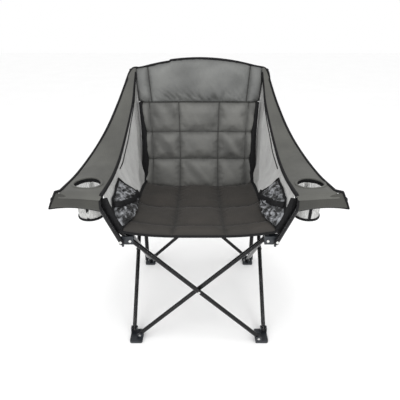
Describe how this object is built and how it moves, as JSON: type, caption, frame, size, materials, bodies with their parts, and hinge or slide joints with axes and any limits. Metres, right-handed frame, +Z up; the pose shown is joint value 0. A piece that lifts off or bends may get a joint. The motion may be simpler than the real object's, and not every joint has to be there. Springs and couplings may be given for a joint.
{
  "type": "folding camp chair",
  "caption": "Folding camp chair with a steel-tube scissor frame, padded sling seat and back, flared cloth arms, cup holders and mesh pockets.",
  "frame": {"origin": "on the ground under the chair's middle", "axes": "+Z up, the chair faces -Y, +X is the right-hand side as seen from its front"},
  "size_m": [0.9268, 0.6026, 0.9846],
  "materials": {
    "black_steel": "gloss",
    "rivet_steel": "satin",
    "black_plastic": "matte",
    "back_cloth": "woven",
    "seat_cloth": "woven",
    "arm_cloth": "woven",
    "binding": "webbing",
    "pale_mesh": "open mesh",
    "dark_mesh": "open mesh"
  },
  "bodies": {
    "root": {"rear_foot_left": "black_plastic", "rear_foot_pins_left": "rivet_steel", "rear_post_left": "black_steel", "rear_post_plug_left": "black_plastic", "back_pad": "back_cloth", "headrest": "back_cloth", "arm_band_left": "arm_cloth", "side_panel_left": "pale_mesh"},
    "rear_foot_right": {"rear_foot_right": "black_plastic", "rear_foot_pins_right": "rivet_steel", "rear_post_right": "black_steel", "rear_post_plug_right": "black_plastic", "arm_band_right": "arm_cloth", "side_panel_right": "pale_mesh"},
    "rear_leg_left": {"rear_leg_left": "black_steel", "rear_crossing_rivet": "rivet_steel"},
    "rear_leg_right": {"rear_leg_right": "black_steel"},
    "seat_rear": {"seat_rear": "seat_cloth"},
    "seat_front": {"seat_front": "seat_cloth"},
    "rear_slider_left": {"rear_slider_left": "black_plastic", "rear_slider_pins_left": "rivet_steel"},
    "side_leg_rear_left": {"side_leg_rear_left": "black_steel", "side_crossing_rivet_left": "rivet_steel"},
    "side_leg_front_left": {"side_leg_front_left": "black_steel"},
    "front_foot_left": {"front_foot_left": "black_plastic", "front_foot_pins_left": "rivet_steel"},
    "front_hub_left": {"front_hub_left": "black_plastic", "front_hub_pins_left": "rivet_steel"},
    "front_leg_left": {"front_leg_left": "black_steel", "front_crossing_rivet": "rivet_steel"},
    "arm_left": {"arm_post_left": "black_steel", "arm_post_plug_left": "black_plastic", "arm_sleeve_left": "binding", "cup_left": "pale_mesh", "cup_ring_left": "binding", "pocket_left": "dark_mesh"},
    "rear_slider_right": {"rear_slider_right": "black_plastic", "rear_slider_pins_right": "rivet_steel"},
    "side_leg_rear_right": {"side_leg_rear_right": "black_steel", "side_crossing_rivet_right": "rivet_steel"},
    "side_leg_front_right": {"side_leg_front_right": "black_steel"},
    "front_foot_right": {"front_foot_right": "black_plastic", "front_foot_pins_right": "rivet_steel"},
    "front_hub_right": {"front_hub_right": "black_plastic", "front_hub_pins_right": "rivet_steel"},
    "front_leg_right": {"front_leg_right": "black_steel"},
    "arm_right": {"arm_post_right": "black_steel", "arm_post_plug_right": "black_plastic", "arm_sleeve_right": "binding", "cup_right": "pale_mesh", "cup_ring_right": "binding", "pocket_right": "dark_mesh"}
  },
  "joints": [
    {"name": "fold", "type": "hinge", "parent": "root", "child": "rear_leg_left", "pos_m": [-0.23, 0.2555, 0.022], "axis": [0, -1, 0], "range_deg": [0, 38], "deforming": ["back_pad", "headrest", "arm_band_left", "arm_band_right", "side_panel_left", "side_panel_right", "seat_front", "seat_rear", "pocket_left", "pocket_right"]},
    {"name": "rear_crossing", "type": "hinge", "parent": "rear_leg_left", "child": "rear_leg_right", "pos_m": [0, 0.264, 0.245], "axis": [0, 1, 0], "range_deg": [0, 76]},
    {"name": "rear_slider_right_hinge", "type": "hinge", "parent": "rear_leg_left", "child": "rear_slider_right", "pos_m": [0.23, 0.2555, 0.468], "axis": [0, 1, 0], "range_deg": [0, 38]},
    {"name": "rear_slider_left_hinge", "type": "hinge", "parent": "rear_leg_right", "child": "rear_slider_left", "pos_m": [-0.23, 0.2725, 0.468], "axis": [0, 1, 0], "range_deg": [-38, 0]},
    {"name": "rear_foot_right_hinge", "type": "hinge", "parent": "rear_leg_right", "child": "rear_foot_right", "pos_m": [0.23, 0.2725, 0.022], "axis": [0, 1, 0], "range_deg": [-38, 0]},
    {"name": "side_leg_rear_left_hinge", "type": "hinge", "parent": "root", "child": "side_leg_rear_left", "pos_m": [-0.2385, 0.23, 0.022], "axis": [1, 0, 0], "range_deg": [-38, 0]},
    {"name": "side_crossing_left", "type": "hinge", "parent": "side_leg_rear_left", "child": "side_leg_front_left", "pos_m": [-0.247, 0, 0.245], "axis": [1, 0, 0], "range_deg": [0, 76]},
    {"name": "front_foot_left_hinge", "type": "hinge", "parent": "side_leg_front_left", "child": "front_foot_left", "pos_m": [-0.2555, -0.23, 0.022], "axis": [1, 0, 0], "range_deg": [-38, 0]},
    {"name": "front_hub_left_hinge", "type": "hinge", "parent": "side_leg_rear_left", "child": "front_hub_left", "pos_m": [-0.2385, -0.23, 0.468], "axis": [1, 0, 0], "range_deg": [0, 38]},
    {"name": "front_leg_left_hinge", "type": "hinge", "parent": "front_foot_left", "child": "front_leg_left", "pos_m": [-0.23, -0.2555, 0.022], "axis": [0, 1, 0], "range_deg": [-38, 0]},
    {"name": "arm_left_swing", "type": "hinge", "parent": "front_hub_left", "child": "arm_left", "pos_m": [-0.258, -0.294, 0.474], "axis": [0, 1, 0], "range_deg": [0, 15.2]},
    {"name": "side_leg_rear_right_hinge", "type": "hinge", "parent": "rear_foot_right", "child": "side_leg_rear_right", "pos_m": [0.2385, 0.23, 0.022], "axis": [1, 0, 0], "range_deg": [-38, 0]},
    {"name": "side_crossing_right", "type": "hinge", "parent": "side_leg_rear_right", "child": "side_leg_front_right", "pos_m": [0.247, 0, 0.245], "axis": [1, 0, 0], "range_deg": [0, 76]},
    {"name": "front_foot_right_hinge", "type": "hinge", "parent": "side_leg_front_right", "child": "front_foot_right", "pos_m": [0.2555, -0.23, 0.022], "axis": [1, 0, 0], "range_deg": [-38, 0]},
    {"name": "front_hub_right_hinge", "type": "hinge", "parent": "side_leg_rear_right", "child": "front_hub_right", "pos_m": [0.2385, -0.23, 0.468], "axis": [1, 0, 0], "range_deg": [0, 38]},
    {"name": "front_leg_right_hinge", "type": "hinge", "parent": "front_foot_right", "child": "front_leg_right", "pos_m": [0.23, -0.2725, 0.022], "axis": [0, 1, 0], "range_deg": [0, 38]},
    {"name": "arm_right_swing", "type": "hinge", "parent": "front_hub_right", "child": "arm_right", "pos_m": [0.258, -0.294, 0.474], "axis": [0, 1, 0], "range_deg": [-15.2, 0]},
    {"name": "seat_rear_hinge", "type": "hinge", "parent": "rear_slider_left", "child": "seat_rear", "pos_m": [0, 0.18, 0.434], "axis": [1, 0, 0], "range_deg": [0, 76]},
    {"name": "seat_middle_fold", "type": "hinge", "parent": "seat_rear", "child": "seat_front", "pos_m": [0, -0.054, 0.459], "axis": [1, 0, 0], "range_deg": [-152, 0]}
  ],
  "couplings": [
    {"joint": "rear_crossing", "follows": "fold", "ratio": 2},
    {"joint": "rear_slider_right_hinge", "follows": "fold", "ratio": 1},
    {"joint": "rear_slider_left_hinge", "follows": "fold", "ratio": -1},
    {"joint": "rear_foot_right_hinge", "follows": "fold", "ratio": -1},
    {"joint": "side_leg_rear_left_hinge", "follows": "fold", "ratio": -1},
    {"joint": "side_crossing_left", "follows": "fold", "ratio": 2},
    {"joint": "front_foot_left_hinge", "follows": "fold", "ratio": -1},
    {"joint": "front_hub_left_hinge", "follows": "fold", "ratio": 1},
    {"joint": "front_leg_left_hinge", "follows": "fold", "ratio": -1},
    {"joint": "arm_left_swing", "follows": "fold", "ratio": 0.4},
    {"joint": "side_leg_rear_right_hinge", "follows": "fold", "ratio": -1},
    {"joint": "side_crossing_right", "follows": "fold", "ratio": 2},
    {"joint": "front_foot_right_hinge", "follows": "fold", "ratio": -1},
    {"joint": "front_hub_right_hinge", "follows": "fold", "ratio": 1},
    {"joint": "front_leg_right_hinge", "follows": "fold", "ratio": 1},
    {"joint": "arm_right_swing", "follows": "fold", "ratio": -0.4},
    {"joint": "seat_rear_hinge", "follows": "fold", "ratio": 2},
    {"joint": "seat_middle_fold", "follows": "fold", "ratio": -4}
  ]
}
